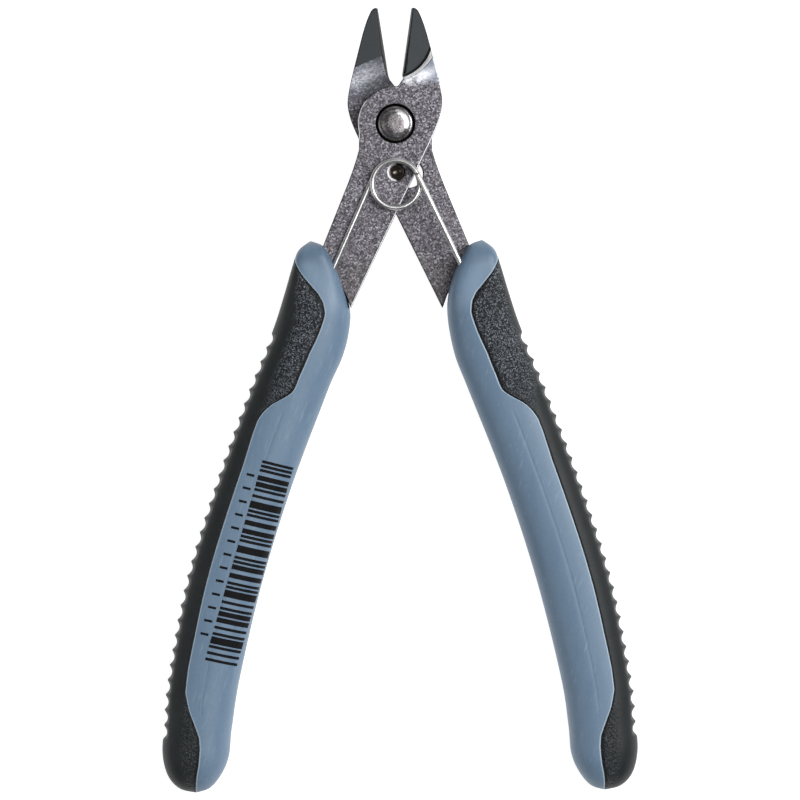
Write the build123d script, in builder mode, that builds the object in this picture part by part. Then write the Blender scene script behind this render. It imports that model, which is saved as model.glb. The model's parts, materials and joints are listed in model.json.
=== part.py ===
from build123d import *
from math import cos, radians, sin
import os

# A small spring-opening flush cutter, lying flat in its open rest position.
# +Z is the thickness, +Y points to the cutting tips and X runs across the two handles.
# The origin is the middle of the bounding box, on the surface that the two grips lie on.
# Plan outlines are drawn about the pivot, for the front lever with its jaw on the right.

# driving dimensions, in mm and degrees
JAW_ANGLE = 8.2            # each cutting edge stands this far from the centre line when open
TIP_REACH = 18.3           # pivot to jaw tip
EDGE_START = 7.75          # pivot to the inner end of the cutting edge
GRIP_THICKNESS = 10.0
GRIP_ROUNDING = 2.3        # edge radius of a grip
COLLAR_CENTRE = (13.1, -20.75)
COLLAR_RADIUS = 2.8
COLLAR_ARC = (16.8, 151)   # bearings where the round collar meets the two long sides
END_CENTRE = (31.6, -98.1)
END_RADIUS = 5.2
END_ARC = (187, 370.4)
PLATE = 3.0                # thickness of one lever
BOSS_RADIUS = 5.77         # round part of a lever about the pivot

BLADE_HALF = 1.6           # half the jaw's thickness where the cutting edge starts
BLADE_HALF_TIP = 0.65      # half the jaw's thickness at the tip
RAMP_LEAN = 18.0           # lean of the cranked step across the back of the jaw
RAMP_FOOT = 6.9            # the step leaves the plate at this distance from the pivot
RAMP_HEAD = 10.45          # and reaches the blade's face here
RELIEF_RADIUS = 6.5        # round ground relief in the front of the jaw
RELIEF_CENTRE = (-0.8, 13.6)
RELIEF_SLOPE = 0.55        # run of the relief's wall for each mm of its height
THROAT_STEP = (0.82, 6.95)  # bend of the outline between the boss and the cutting edge
FRONT_THROAT = (1.25, 6.95)  # the front lever is ground back to here
BEVEL_WIDTH = 0.55         # narrow bevel that sharpens the cutting edge
BEVEL_HEIGHT = 2.4
BEVEL_FOOT = 0.3           # the sharp edge stands this far behind the middle plane

RIVET_SHAFT_RADIUS = 2.0
RIVET_FIT = 0.02           # radial running clearance
RIVET_HEAD_RADIUS = 2.78
RIVET_CROWN_RADIUS = 2.2
RIVET_CROWN_FALL = 0.08    # the crown's edge is this much lower than its middle
RIVET_SHOULDER = (2.61, 0.27)  # point on the head's round shoulder: radius, height over the plate
RIVET_RIM_DROP = 0.1       # the head's rim starts this far under the plate's face
RIVET_HEAD_PROUD = 0.6     # height of the head above the plate
COUNTERBORE_RADIUS = 3.0
COUNTERBORE_DEPTH = 1.1

STOP_PIN_RADIUS = 1.125
STOP_PIN_PLACE = (0.17, -7.5)
STOP_PIN_RECESS = 0.05     # the domed end stays this far under the plate's face
STOP_PIN_SINK_RADIUS = 1.45
STOP_PIN_CROWN = 0.3
STOP_SLOT_RADIUS = 2.2
STOP_SLOT_LENGTH = 0.78    # between the centres of the slot's round ends
STOP_SLOT_DROP = 0.1       # the slot lies this far below the pin
STOP_PIN_END_GAP = 0.4     # the pin ends this far above the rear lever's outer face
STOP_GAP = 0.015           # left between the pin and the slot's end when open

WIRE_RADIUS = 0.4
RING_RADIUS = 3.65         # middle of the wire
RING_CENTRE_Y = -9.44
RING_CORNERS = 12          # the ring is drawn as a polyline with this many rounded corners
RING_CORNER_SHARE = 0.98   # corner radius as a share of the ring's radius
RING_GAP = 0.1             # between the plate's face and the lower turn
LAYER_PITCH = 0.85         # rise of the coil in one turn
LEFT_LEG_LEAN = 24.0
RIGHT_LEG_LEAN = 25.5
LEG_LENGTH = 18.0          # from the coil to the wire's end in the collar
RIGHT_LEG_DROP = 1.3       # the right leg comes down towards its collar
LEG_HOLE_RADIUS = 0.5
LEG_HOLE_DEPTH = 8.5
LEG_HOLE_END_GAP = 0.3

COVER_SHELL = 1.6          # thickness of the elastomer over the core
CORE_ROUNDING = 1.0        # edge radius of the core under it
INSET_SPANS = 8            # an inset side is drawn through this many spans
RIDGE_COUNT = 27
RIDGE_DEPTH = 0.55
RIDGE_RADIUS = 1.5
RIDGE_FROM = 0.13          # first and last valley, as fractions of the outer side
RIDGE_TO = 0.87
TANG_HOLE_RADIUS = 1.6
TANG_HOLES = ((-18.4, -46.7), (-23.3, -60.5))

# the tips' height above the pivot fixes where the pivot lies on the centred tool
TIP_HEIGHT = TIP_REACH * cos(radians(JAW_ANGLE))
HANDLE_REACH = END_RADIUS - END_CENTRE[1]
PIVOT_Y = (HANDLE_REACH - TIP_HEIGHT) / 2
MIDDLE = Vector(0, PIVOT_Y, GRIP_THICKNESS / 2)

FRONT = Plane(origin=MIDDLE, x_dir=(1, 0, 0), z_dir=(0, 0, 1))
REAR = Plane(origin=MIDDLE, x_dir=(-1, 0, 0), z_dir=(0, 0, -1))


def radial(distance, angle=JAW_ANGLE):
    """Point at a distance from the pivot, on a line that leans right from +Y."""
    return distance * sin(radians(angle)), distance * cos(radians(angle))


def lever_plan():
    """Outline of one blanked lever: right jaw, boss, left arm and the tang in the grip."""
    tip = radial(TIP_REACH)
    throat = (-0.1, (BOSS_RADIUS**2 - 0.1**2) ** 0.5)
    boss_end = (-(BOSS_RADIUS**2 - 1.2**2) ** 0.5, -1.2)
    boss_top = radial(BOSS_RADIUS, -45)
    with BuildSketch() as plan:
        with BuildLine():
            Polyline(throat, THROAT_STEP, radial(EDGE_START), tip)
            ThreePointArc(tip, (3.22, 17.97), (3.7, 17.5))
            Spline(
                (3.7, 17.5), (4.33, 16.05), (4.86, 14.4), (5.5, 12.0), (6.05, 9.8), (7.2, 5.1),
                (7.4, 3.3), (7.0, 1.1), (5.65, -2.2),
            )
            Polyline((5.65, -2.2), (-7.1, -28.5), (-7.9, -26.3), (-8.9, -24.9), (-9.9, -27.6))
            Spline((-9.9, -27.6), (-12.2, -35.6), (-15.9, -46.7), (-19.0, -56), (-22.7, -68))
            ThreePointArc((-22.7, -68), (-26.1, -70.8), (-28, -67))
            Spline(
                (-28, -67), (-24.6, -56), (-21.2, -46.7), (-15.8, -32.0),
                (-13.2, -24), (-8.55, -12), (-6.6, -7.05), (-5.65, -4.0),
            )
            Line((-5.65, -4.0), boss_end)
            ThreePointArc(boss_end, boss_top, throat)
        make_face()
    return plan.sketch


def jaw_back(plane):
    """The cranked half of the jaw, which crosses the middle plane beyond the boss."""
    across = plane.x_dir * sin(radians(RAMP_LEAN)) + plane.y_dir * cos(radians(RAMP_LEAN))
    side = Plane(origin=plane.origin, x_dir=across, z_dir=across.cross(plane.z_dir))
    beyond = TIP_REACH + 1
    with BuildPart() as crank:
        with BuildSketch(plane):
            add(lever_plan())
        extrude(amount=-BLADE_HALF)
        with BuildSketch(side):
            Polygon(
                (RAMP_FOOT, 0), (RAMP_HEAD, -BLADE_HALF), (beyond, -BLADE_HALF_TIP), (beyond, 0),
                align=None,
            )
        extrude(amount=TIP_REACH, both=True, mode=Mode.INTERSECT)
    return crank.part


def relief_cone(plane):
    """Cutter for the round relief, whose floor slopes down towards the tip."""
    fall = (BLADE_HALF - BLADE_HALF_TIP) / (TIP_REACH - EDGE_START)
    along = plane.x_dir * sin(radians(JAW_ANGLE)) + plane.y_dir * cos(radians(JAW_ANGLE))
    out = sum(a * b for a, b in zip(RELIEF_CENTRE, radial(1)))
    floor = BLADE_HALF - (out - EDGE_START) * fall
    centre = plane.from_local_coords((RELIEF_CENTRE[0], RELIEF_CENTRE[1], floor))
    tilted = Plane(origin=centre, x_dir=along.cross(plane.z_dir), z_dir=plane.z_dir + along * fall)
    height = PLATE + 1
    with BuildPart(tilted) as cutter:
        Cone(
            RELIEF_RADIUS, RELIEF_RADIUS + height * RELIEF_SLOPE, height,
            align=(Align.CENTER, Align.CENTER, Align.MIN),
        )
    return cutter.part


def edge_bevel(plane, side):
    """Cutter for the narrow bevel along the cutting edge, on the chosen side of the jaw."""
    along = plane.x_dir * sin(radians(JAW_ANGLE)) + plane.y_dir * cos(radians(JAW_ANGLE))
    inward = plane.x_dir * cos(radians(JAW_ANGLE)) - plane.y_dir * sin(radians(JAW_ANGLE))
    end = Plane(origin=plane.origin + along * (TIP_REACH + 1), x_dir=inward, z_dir=-along)
    foot = -BEVEL_FOOT * side
    head = foot + BEVEL_HEIGHT * side
    with BuildPart() as cutter:
        with BuildSketch(end):
            Polygon((-1, foot), (0, foot), (BEVEL_WIDTH, head), (-1, head), align=None)
        extrude(amount=TIP_REACH + 1 - EDGE_START)
    return cutter.part


def lever_blank(plane, bevel_side):
    """One lever before its stop feature: plate, cranked jaw, relief, bevel and pivot bore."""
    with BuildPart() as blank:
        with BuildSketch(plane):
            add(lever_plan())
        extrude(amount=PLATE)
        with BuildSketch(plane):
            with Locations(*TANG_HOLES):
                Circle(TANG_HOLE_RADIUS)
        extrude(amount=PLATE, mode=Mode.SUBTRACT)
        add(jaw_back(plane))
        add(relief_cone(plane), mode=Mode.SUBTRACT)
        add(edge_bevel(plane, bevel_side), mode=Mode.SUBTRACT)
        with Locations(plane.offset(PLATE)):
            CounterBoreHole(
                RIVET_SHAFT_RADIUS + RIVET_FIT, COUNTERBORE_RADIUS, COUNTERBORE_DEPTH, PLATE
            )
    return blank.part


def round_end(centre, radius, angle):
    """Point on a round end of the grip, and the clockwise direction of its outline there."""
    across, up = cos(radians(angle)), sin(radians(angle))
    return (centre[0] + radius * across, centre[1] + radius * up), (up, -across)


def outer_side():
    """The outer side of the right grip, from the collar down, which carries the ridges."""
    start, start_run = round_end(COLLAR_CENTRE, COLLAR_RADIUS, COLLAR_ARC[0])
    end, end_run = round_end(END_CENTRE, END_RADIUS, END_ARC[1])
    points = (start, (18.5, -29.4), (23.2, -41.2), (28.6, -56), (33.2, -70.9), (36.0, -85.8), end)
    return Edge.make_spline(points, tangents=(start_run, end_run))


def inner_side():
    """The inner side of the right grip, from the handle's end up to the collar."""
    start, start_run = round_end(END_CENTRE, END_RADIUS, END_ARC[0])
    end, end_run = round_end(COLLAR_CENTRE, COLLAR_RADIUS, COLLAR_ARC[1])
    points = (
        start, (25, -85.8), (21.4, -70.9), (16.7, -56), (11.0, -41.2), (7.75, -30), (8.3, -24.6), end
    )
    return Edge.make_spline(points, tangents=(start_run, end_run))


def beside(edge, step, distance):
    """Point at a distance to the right of an edge, as one walks along it."""
    point = edge.position_at(step)
    run = edge.tangent_at(step)
    return point.X + run.Y * distance, point.Y - run.X * distance


def inset_side(edge, inset):
    """A long side of the grip moved inwards."""
    points = [beside(edge, i / INSET_SPANS, inset) for i in range(INSET_SPANS + 1)]
    return Edge.make_spline(points, tangents=(edge.tangent_at(0), edge.tangent_at(1)))


def grip_plan(inset=0.0):
    """Outline of the right grip: two long sides joined by a round collar and a round end."""
    with BuildSketch() as plan:
        with BuildLine():
            CenterArc(
                COLLAR_CENTRE, COLLAR_RADIUS - inset, COLLAR_ARC[0], COLLAR_ARC[1] - COLLAR_ARC[0]
            )
            add(inset_side(outer_side(), inset))
            CenterArc(END_CENTRE, END_RADIUS - inset, END_ARC[0], END_ARC[1] - END_ARC[0])
            add(inset_side(inner_side(), inset))
        make_face()
    return plan.sketch


def cover_plan():
    """Area of the right grip that the elastomer cover takes, beyond the parting line."""
    with BuildSketch() as plan:
        with BuildLine():
            Spline(
                (17.5, -19.5), (14.6, -22.8), (11.9, -27), (11.7, -30.5), (13.7, -35.6),
                (15.7, -40.6), (18.2, -42.4), (20.9, -44.4), (22.4, -47.3), (25.4, -56),
                (29.9, -70.9), (33.0, -84.5), (32.7, -89.5), (31.3, -94), (31.4, -100), (31.5, -106),
            )
            Polyline((31.5, -106), (45, -106), (45, -15), (17.5, -19.5))
        make_face()
    return plan.sketch


def grip_block(rounding, inset=0.0):
    """Rounded solid of the whole right grip, or of its inside at a depth below the surface."""
    half = GRIP_THICKNESS / 2 - inset
    with BuildPart() as block:
        with BuildSketch(FRONT.offset(-half)):
            add(grip_plan(inset))
        extrude(amount=2 * half)
        fillet(block.edges().filter_by(Plane.XY), rounding)
    return block.part


def cover_shell(block):
    """The right cover before its ridges: a shell round the outer side of the grip."""
    inside = grip_block(CORE_ROUNDING, COVER_SHELL)
    with BuildPart() as shell:
        add(block)
        with BuildSketch(FRONT.offset(-GRIP_THICKNESS / 2)):
            add(cover_plan())
        extrude(amount=GRIP_THICKNESS, mode=Mode.INTERSECT)
        add(inside, mode=Mode.SUBTRACT)
    return shell.part


def ridge_valleys():
    """Cutter for the round valleys between the ridges, across the outer side's edge."""
    edge = outer_side()
    pitch = (RIDGE_TO - RIDGE_FROM) / (RIDGE_COUNT - 1)
    places = [
        beside(edge, RIDGE_FROM + pitch * i, RIDGE_DEPTH - RIDGE_RADIUS) for i in range(RIDGE_COUNT)
    ]
    with BuildPart() as cutter:
        with BuildSketch(FRONT.offset(-GRIP_THICKNESS / 2)):
            with Locations(*places):
                Circle(RIDGE_RADIUS)
        extrude(amount=GRIP_THICKNESS)
    return cutter.part


def handed(part, side):
    """The right grip's part for side 1, and its mirror image for side -1."""
    with BuildPart() as piece:
        if side > 0:
            add(part)
        else:
            mirror(part, about=Plane.YZ)
    return piece.part


def leg_start(side):
    """Where a spring leg leaves the ring, and its direction down to the collar."""
    lean = RIGHT_LEG_LEAN if side > 0 else LEFT_LEG_LEAN
    x, y = radial(1, lean)
    return side * RING_RADIUS * y, RING_CENTRE_Y + RING_RADIUS * x, side * x, -y


# both levers are the same blank, the rear one turned over about the long axis
throat_foot = (0.45, (BOSS_RADIUS**2 - 0.45**2) ** 0.5)
with BuildPart() as front_lever:
    add(lever_blank(FRONT, 1))
    with BuildSketch(FRONT.offset(-BLADE_HALF)):
        Polygon(
            throat_foot, FRONT_THROAT, radial(EDGE_START), THROAT_STEP, (-0.3, BOSS_RADIUS),
            align=None,
        )
    extrude(amount=BLADE_HALF + PLATE, mode=Mode.SUBTRACT)
    with Locations(FRONT.offset(PLATE) * Location((*STOP_PIN_PLACE, 0))):
        CounterSinkHole(STOP_PIN_RADIUS, STOP_PIN_SINK_RADIUS, PLATE, 90)
front_lever.part.label = "front_lever"

slot_left = STOP_PIN_PLACE[0] - STOP_PIN_RADIUS - STOP_GAP + STOP_SLOT_RADIUS
with BuildPart() as rear_lever:
    add(lever_blank(REAR, -1))
    with BuildSketch(FRONT.offset(-PLATE)):
        with Locations((slot_left + STOP_SLOT_LENGTH / 2, STOP_PIN_PLACE[1] - STOP_SLOT_DROP)):
            SlotCenterToCenter(STOP_SLOT_LENGTH, 2 * STOP_SLOT_RADIUS)
    extrude(amount=PLATE, mode=Mode.SUBTRACT)
rear_lever.part.label = "rear_lever"

# shouldered rivet, the same at both ends
floor_height = PLATE - COUNTERBORE_DEPTH
crown_height = PLATE + RIVET_HEAD_PROUD
crown_edge = (RIVET_CROWN_RADIUS, crown_height - RIVET_CROWN_FALL)
rim = (RIVET_HEAD_RADIUS, PLATE - RIVET_RIM_DROP)
with BuildPart() as pivot_rivet:
    with BuildSketch(Plane(origin=MIDDLE, x_dir=(1, 0, 0), z_dir=(0, -1, 0))):
        with BuildLine():
            ThreePointArc(
                (0, crown_height),
                (RIVET_CROWN_RADIUS / 2, crown_height - RIVET_CROWN_FALL / 4),
                crown_edge,
            )
            ThreePointArc(crown_edge, (RIVET_SHOULDER[0], PLATE + RIVET_SHOULDER[1]), rim)
            Polyline(
                rim, (RIVET_HEAD_RADIUS, floor_height), (RIVET_SHAFT_RADIUS, floor_height),
                (RIVET_SHAFT_RADIUS, 0),
            )
            mirror(about=Plane.XZ)
            Line((0, crown_height), (0, -crown_height))
        make_face()
    revolve(axis=Axis(MIDDLE, (0, 0, 1)))
pivot_rivet.part.label = "pivot_rivet"

# stop pin, pressed in the front lever and reaching into the rear lever's slot
pin_top = PLATE - STOP_PIN_RECESS
with BuildPart() as stop_pin:
    with BuildSketch(FRONT.offset(STOP_PIN_END_GAP - PLATE)):
        with Locations(STOP_PIN_PLACE):
            Circle(STOP_PIN_RADIUS)
    extrude(amount=pin_top + PLATE - STOP_PIN_END_GAP)
    fillet(stop_pin.faces().sort_by(Axis.Z)[-1].edges(), STOP_PIN_CROWN)
stop_pin.part.label = "stop_pin"

# opening spring: a ring of about one turn and a third, with a leg into each collar
lower_turn = PLATE + RING_GAP + WIRE_RADIUS
sweep_angle = 540 - LEFT_LEG_LEAN - RIGHT_LEG_LEAN
corner_step = sweep_angle / RING_CORNERS
corner_radius = RING_RADIUS / cos(radians(corner_step / 2))
rise = LAYER_PITCH * sweep_angle / 360
left_x, left_y, left_dx, left_dy = leg_start(-1)
right_x, right_y, right_dx, right_dy = leg_start(1)
route = [(left_x + LEG_LENGTH * left_dx, left_y + LEG_LENGTH * left_dy, lower_turn)]
for corner in range(RING_CORNERS):
    turn = corner + 0.5
    bearing = radians(180 - LEFT_LEG_LEAN - corner_step * turn)
    route.append((
        corner_radius * cos(bearing),
        RING_CENTRE_Y + corner_radius * sin(bearing),
        lower_turn + rise * turn / RING_CORNERS,
    ))
right_end = (right_x + LEG_LENGTH * right_dx, right_y + LEG_LENGTH * right_dy)
route.append((*right_end, lower_turn + rise - RIGHT_LEG_DROP))
leg_tops = {-1: (left_x, left_y, lower_turn), 1: (right_x, right_y, lower_turn + rise)}
leg_feet = {-1: route[0], 1: route[-1]}
with BuildPart() as opening_spring:
    with BuildLine(FRONT) as wire:
        FilletPolyline(*route, radius=RING_RADIUS * RING_CORNER_SHARE)
    wire_path = wire.wires()[0]
    with BuildSketch(Plane(origin=wire_path @ 0, z_dir=wire_path % 0)):
        Circle(WIRE_RADIUS)
    sweep(path=wire_path)
opening_spring.part.label = "opening_spring"

# each grip: a hard core moulded round the lever's tang, with the elastomer cover over it
right_block = grip_block(GRIP_ROUNDING)
right_shell = cover_shell(right_block)
valleys = ridge_valleys()
grip_parts = []
for name, side, lever in (("left", -1, front_lever), ("right", 1, rear_lever)):
    foot = FRONT.from_local_coords(leg_feet[side])
    up_leg = (FRONT.from_local_coords(leg_tops[side]) - foot).normalized()
    with BuildPart() as cover:
        add(handed(right_shell, side))
        add(handed(valleys, side), mode=Mode.SUBTRACT)
    with BuildPart() as core:
        add(handed(right_block, side))
        add(handed(right_shell, side), mode=Mode.SUBTRACT)
        add(lever.part, mode=Mode.SUBTRACT)
        with BuildSketch(Plane(origin=foot - up_leg * LEG_HOLE_END_GAP, z_dir=up_leg)):
            Circle(LEG_HOLE_RADIUS)
        extrude(amount=LEG_HOLE_DEPTH, mode=Mode.SUBTRACT)
    cover.part.label = name + "_grip_cover"
    core.part.label = name + "_grip_core"
    grip_parts += [core.part, cover.part]

os.makedirs("parts", exist_ok=True)
pieces = [front_lever.part, rear_lever.part, pivot_rivet.part, stop_pin.part, opening_spring.part]
for piece in pieces + grip_parts:
    export_step(piece, "parts/" + piece.label + ".step")
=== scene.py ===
import json
import math
import bmesh
import bpy
import numpy as np
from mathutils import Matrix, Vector


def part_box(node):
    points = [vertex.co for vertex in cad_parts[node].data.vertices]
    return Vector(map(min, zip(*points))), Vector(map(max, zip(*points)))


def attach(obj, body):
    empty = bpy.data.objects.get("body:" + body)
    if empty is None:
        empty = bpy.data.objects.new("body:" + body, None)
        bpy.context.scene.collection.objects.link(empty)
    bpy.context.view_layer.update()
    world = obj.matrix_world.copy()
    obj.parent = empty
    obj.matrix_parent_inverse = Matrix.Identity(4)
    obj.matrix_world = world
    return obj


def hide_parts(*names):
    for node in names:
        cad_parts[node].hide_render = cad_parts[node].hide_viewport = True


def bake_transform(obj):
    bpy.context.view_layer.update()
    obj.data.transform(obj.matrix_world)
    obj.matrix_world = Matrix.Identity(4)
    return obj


# The flush cutter's looks: moulded grips, blasted and ground levers, rivet, pin and spring.
# Lengths below are in millimetres about the pivot, and MM turns them into metres.

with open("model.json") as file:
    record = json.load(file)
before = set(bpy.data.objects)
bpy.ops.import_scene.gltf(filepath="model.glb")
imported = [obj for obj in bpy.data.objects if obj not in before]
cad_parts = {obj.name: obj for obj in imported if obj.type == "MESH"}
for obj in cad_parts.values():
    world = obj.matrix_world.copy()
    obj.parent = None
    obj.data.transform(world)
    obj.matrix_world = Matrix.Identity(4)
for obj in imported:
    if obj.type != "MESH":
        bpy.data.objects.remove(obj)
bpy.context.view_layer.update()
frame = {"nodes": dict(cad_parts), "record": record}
MM = 0.001
PIVOT = Vector(frame["record"]["behaviour"]["joints"][0]["pos_m"])
PLATE_TOP = (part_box("front_lever")[1].z - PIVOT.z) / MM
GRIP_HALF = (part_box("left_grip_core")[1].z - PIVOT.z) / MM


# ---------------------------------------------------------------- shader building

class Shader:
    """One node material. Each method adds a node and returns the output that carries its result."""

    def __init__(self, name):
        self.material = bpy.data.materials.new(name)
        self.material.use_nodes = True
        self.tree = self.material.node_tree
        self.surface = self.tree.nodes["Principled BSDF"]

    def node(self, kind, inputs=(), **settings):
        made = self.tree.nodes.new(kind)
        for key, value in settings.items():
            setattr(made, key, value)
        for key, value in dict(inputs).items():
            self.plug(made.inputs[key], value)
        return made

    def plug(self, socket, value):
        if isinstance(value, bpy.types.NodeSocket):
            self.tree.links.new(value, socket)
        else:
            socket.default_value = value

    def set(self, **values):
        """Sets the surface's sockets; an underscore in a name stands for a space."""
        for key, value in values.items():
            self.plug(self.surface.inputs[key.replace("_", " ")], value)

    def math(self, operation, a, b=0.0, c=0.0, clamp=False):
        made = self.node("ShaderNodeMath", {0: a, 1: b, 2: c}, operation=operation, use_clamp=clamp)
        return made.outputs[0]

    def plus(self, a, b):
        return self.math("ADD", a, b)

    def less(self, a, b):
        return self.math("SUBTRACT", a, b)

    def without(self, share):
        return self.math("SUBTRACT", 1.0, share)

    def times(self, product, *factors):
        for factor in factors:
            product = self.math("MULTIPLY", product, factor)
        return product

    def most(self, a, b):
        return self.math("MAXIMUM", a, b)

    def length(self, x, y):
        return self.math("SQRT", self.plus(self.times(x, x), self.times(y, y)))

    def step(self, value, low, high):
        """0 below low, 1 above high, smooth between."""
        made = self.node(
            "ShaderNodeMapRange", {"Value": value, "From Min": low, "From Max": high},
            interpolation_type="SMOOTHSTEP",
        )
        return made.outputs[0]

    def scale(self, value, low, high, new_low, new_high):
        made = self.node(
            "ShaderNodeMapRange",
            {"Value": value, "From Min": low, "From Max": high, "To Min": new_low, "To Max": new_high},
        )
        return made.outputs[0]

    def vary(self, noise, low, high):
        """A noise's usual values spread from low to high."""
        return self.scale(noise, *NOISE_SPAN, low, high)

    def mix(self, share, first, second):
        made = self.node("ShaderNodeMix", data_type="RGBA")
        self.plug(made.inputs[0], share)
        self.plug(made.inputs[6], first)
        self.plug(made.inputs[7], second)
        return made.outputs[2]

    def tint(self, colour, tone, mask, strength=1.0):
        """A colour taken towards a tone where the mask is high."""
        return self.mix(self.times(mask, strength), colour, tone)

    def stain(self, colour, value, band, strength, tone):
        """A colour taken towards a tone as a value crosses a band."""
        return self.tint(colour, tone, self.step(value, *band), strength)

    def place(self, centre=PIVOT, turned_over=False, stretch=(1, 1, 1), spin=0.0):
        """Position in millimetres about a centre, stretched along each axis."""
        coords = self.node("ShaderNodeTexCoord").outputs["Object"]
        shifted = self.node(
            "ShaderNodeVectorMath", {0: coords, 1: tuple(-c for c in centre)}, operation="ADD"
        ).outputs[0]
        flip = -1 if turned_over else 1
        size = (flip / MM, 1 / MM, flip / MM)
        local = self.node(
            "ShaderNodeVectorMath", {0: shifted, 1: size}, operation="MULTIPLY"
        ).outputs[0]
        if spin:
            local = self.node(
                "ShaderNodeVectorRotate", {"Vector": local, "Angle": spin}, rotation_type="Z_AXIS"
            ).outputs[0]
        if tuple(stretch) == (1, 1, 1):
            return local
        return self.node(
            "ShaderNodeVectorMath", {0: local, 1: stretch}, operation="MULTIPLY"
        ).outputs[0]

    def noise(self, where, size, detail=3.0, roughness=0.6):
        """Noise whose features are about size millimetres across."""
        made = self.node(
            "ShaderNodeTexNoise",
            {"Vector": where, "Scale": 1 / size, "Detail": detail, "Roughness": roughness},
        )
        return made.outputs["Fac"]

    def cells(self, where, size, feature="F1"):
        made = self.node(
            "ShaderNodeTexVoronoi", {"Vector": where, "Scale": 1 / size}, feature=feature
        )
        return made.outputs["Distance"]

    def grit(self, where, size):
        """A random level for each grain about size millimetres across."""
        made = self.node("ShaderNodeTexVoronoi", {"Vector": where, "Scale": 1 / size})
        return self.split(made.outputs["Color"])[0]

    def ramp(self, value, stops):
        """Colours blended between stops of (position, colour)."""
        made = self.node("ShaderNodeValToRGB", {0: value})
        bands = made.color_ramp.elements
        bands[0].position, bands[0].color = stops[0]
        bands[1].position, bands[1].color = stops[-1]
        for position, colour in stops[1:-1]:
            bands.new(position).color = colour
        return made.outputs["Color"]

    def split(self, vector):
        made = self.node("ShaderNodeSeparateXYZ", {0: vector})
        return made.outputs

    def attribute(self, name):
        return self.node("ShaderNodeAttribute", attribute_name=name).outputs["Fac"]

    def bump(self, heights, depth, normal=None):
        """Stacks bumps: heights is a list of (height, strength), depth is in metres."""
        for height, strength in heights:
            inputs = {"Height": height, "Strength": strength, "Distance": depth}
            if normal is not None:
                inputs["Normal"] = normal
            normal = self.node("ShaderNodeBump", inputs).outputs[0]
        self.plug(self.surface.inputs["Normal"], normal)


def grey(level, warmth=0.0):
    """A linear grey; warmth above 0 leans to brown and below 0 to blue."""
    return (level * (1 + warmth), level, level * (1 - warmth), 1)


# ---------------------------------------------------------------- materials

# Noises are (size in millimetres, detail, roughness), stretched ones ((along x, y and z), spin), and
# bands (where a step starts, where it ends), in millimetres where they are places.
NOISE_SPAN = (0.3, 0.7)    # where nearly all of a noise's values lie

# the levers
HOLLOW_CENTRE = (-0.8, 13.6)
HOLLOW_RADIUS = 6.5
COUNTERBORE = 3.0
EDGE_BREAK = 0.2
SOFT_ROUND = 1.4
SOFT_SAMPLES = 12
MATING_HEIGHT = 0.3        # what lies under this height belongs to the mating side
SPECKLE = (0.27, 1.0, 0.6)
GRIT_SIZE = 0.21
GRAIN = (0.62, 4.0, 0.75)
CLOUDS = (2.6, 3.0, 0.6)
SMEARS, SMEAR_STRETCH, SMEAR_SPIN = (1.5, 4.0, 0.7), (1, 3.2, 1), 0.3
LINES, LINE_STRETCH, LINE_SPIN = (0.5, 3.0, 0.6), (1, 9, 1), 0.35
BLAST_TONES = (
    (0.0, (0.049, 0.044, 0.053, 1)), (0.35, (0.118, 0.113, 0.127, 1)), (0.75, (0.245, 0.236, 0.266, 1)),
    (1.0, (0.53, 0.52, 0.575, 1)),
)
# what lies over the blasted tones: noise band, strength and colour
SPECKLE_STAIN = ((0.45, 0.62), 0.3, (0.10, 0.090, 0.10, 1))
GRAIN_STAIN = ((0.52, 0.66), 0.3, (0.075, 0.066, 0.076, 1))
CLOUD_STAIN = ((0.45, 0.65), 0.22, (0.15, 0.13, 0.14, 1))
GRIP_STAIN = ((-16.0, -27.0), 0.34, grey(0.085, 0.16))   # by height, towards the grips
BURNISHED_FROM = (5.6, 7.4)
BURNISHED_RING = (HOLLOW_RADIUS + 0.2, HOLLOW_RADIUS + 0.26)
HIGHLIGHT_BAND_RING = (HOLLOW_RADIUS + 3.0, HOLLOW_RADIUS + 1.8)
BLUISH_BESIDE, BLUISH_FROM = (3.5, 4.9), (7.3, 9.0)
FLANK_LEAN, FLANK_RING = (0.6, 0.3), (HOLLOW_RADIUS + 0.75, HOLLOW_RADIUS + 0.85)
SHINE_TONES = ((0.13, 0.15, 0.19, 1), (0.42, 0.45, 0.52, 1))
SHINE_STAIN = ((0.45, 0.8), 0.5, (0.17, 0.19, 0.24, 1))
HIGHLIGHT_BAND_TONE = (0.88, 0.89, 0.94, 1)
HOLLOW_WALL_LEAN = (0.8, 0.9)
HOLLOW_WALL_HIGHLIGHT = (0.98, 0.98, 1.0, 1)
OUTER_BLADE_RADIUS = HOLLOW_RADIUS + 0.24
OUTER_BLADE_FROM = (6.6, 6.8)
SLOPE_TURN_X, SLOPE_TURN = 4.2, 0.40                     # the mating side's slope runs up to the right
SLOPE_SPAN = (4.0, 10.4)
SLOPE_FROM = (4.3, 5.2)
MATING_BLADE_FROM = (9.55, 9.75)
# painted light and shade up the mating side's slope, from its foot near the boss to the blade: a painted dark
# band low down and a painted highlight band halfway up
SLOPE_LIGHT_AND_SHADE = (
    (0.0, (0.10, 0.095, 0.105, 1)), (0.20, (0.055, 0.060, 0.071, 1)), (0.30, (0.10, 0.105, 0.125, 1)),
    (0.40, (0.30, 0.31, 0.345, 1)), (0.50, (0.60, 0.61, 0.66, 1)), (0.62, (0.54, 0.55, 0.60, 1)),
    (0.78, (0.27, 0.28, 0.32, 1)), (0.88, (0.11, 0.12, 0.145, 1)),
)
SLOPE_SMEAR_TONE = (0.10, 0.10, 0.115, 1)
SLOPE_PITS = ((0.45, 0.9), 0.6, (0.10, 0.10, 0.13, 1))
SLOPE_GLINTS = ((0.35, 0.1), 0.25, (0.66, 0.68, 0.74, 1))
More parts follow.
